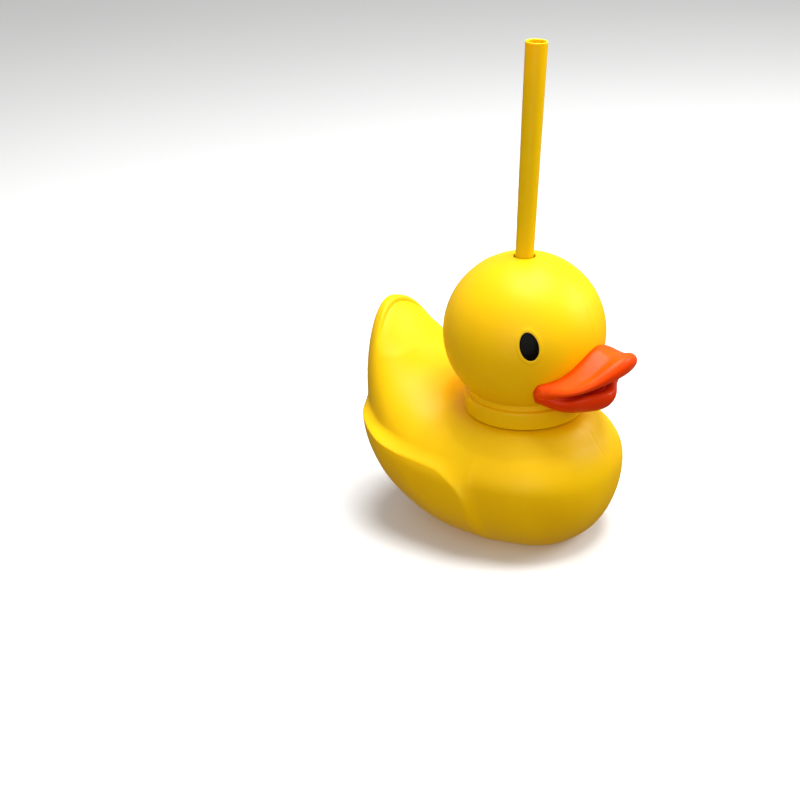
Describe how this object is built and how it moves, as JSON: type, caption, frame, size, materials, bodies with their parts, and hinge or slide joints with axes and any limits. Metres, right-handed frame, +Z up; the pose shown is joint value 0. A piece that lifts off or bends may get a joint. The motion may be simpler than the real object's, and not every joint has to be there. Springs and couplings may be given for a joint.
{
  "type": "duck-shaped drinking cup",
  "caption": "Hollow duck-shaped drinking cup whose head screws off a threaded neck, with an orange beak, black oval eyes and a tapered straw through the crown.",
  "frame": {"origin": "on the flat base, directly below the axis that the head screws on, which also goes through the middle of the crown hole, where the straw leans 3 degrees off it", "axes": "+Z up along the screw axis; -Y towards the beak and +Y towards the tail; X = 0 is the plane of symmetry, +X is the duck's own left"},
  "size_m": [0.1118, 0.153, 0.2551],
  "materials": {
    "yellow_shell": "satin blow-moulded",
    "yellow_cap": "satin injection-moulded",
    "yellow_straw": "satin, slightly translucent",
    "orange_beak": "gloss",
    "black_eye": "gloss",
    "clear_silicone": "matt"
  },
  "bodies": {
    "cup": {"body_shell": "yellow_shell"},
    "seal": {"cap_gasket": "clear_silicone"},
    "lid": {"neck_collar": "yellow_cap", "head_shell": "yellow_shell", "beak": "orange_beak", "left_eye": "black_eye", "right_eye": "black_eye", "straw_seal": "clear_silicone"},
    "straw": {"straw": "yellow_straw"}
  },
  "joints": [
    {"name": "lid_lift", "type": "slide", "parent": "cup", "child": "seal", "axis": [0, 0, 1], "range_m": [0, 0.0125]},
    {"name": "lid_turn", "type": "hinge", "parent": "seal", "child": "lid", "pos_m": [0, 0, 0], "axis": [0, 0, 1], "range_deg": [0, 450]},
    {"name": "straw_slide", "type": "slide", "parent": "lid", "child": "straw", "axis": [0.0318, -0.0416, 0.9986], "range_m": [0, 0.14]}
  ],
  "couplings": [
    {"joint": "lid_lift", "follows": "lid_turn", "m_per_rad": 0.0015915}
  ]
}
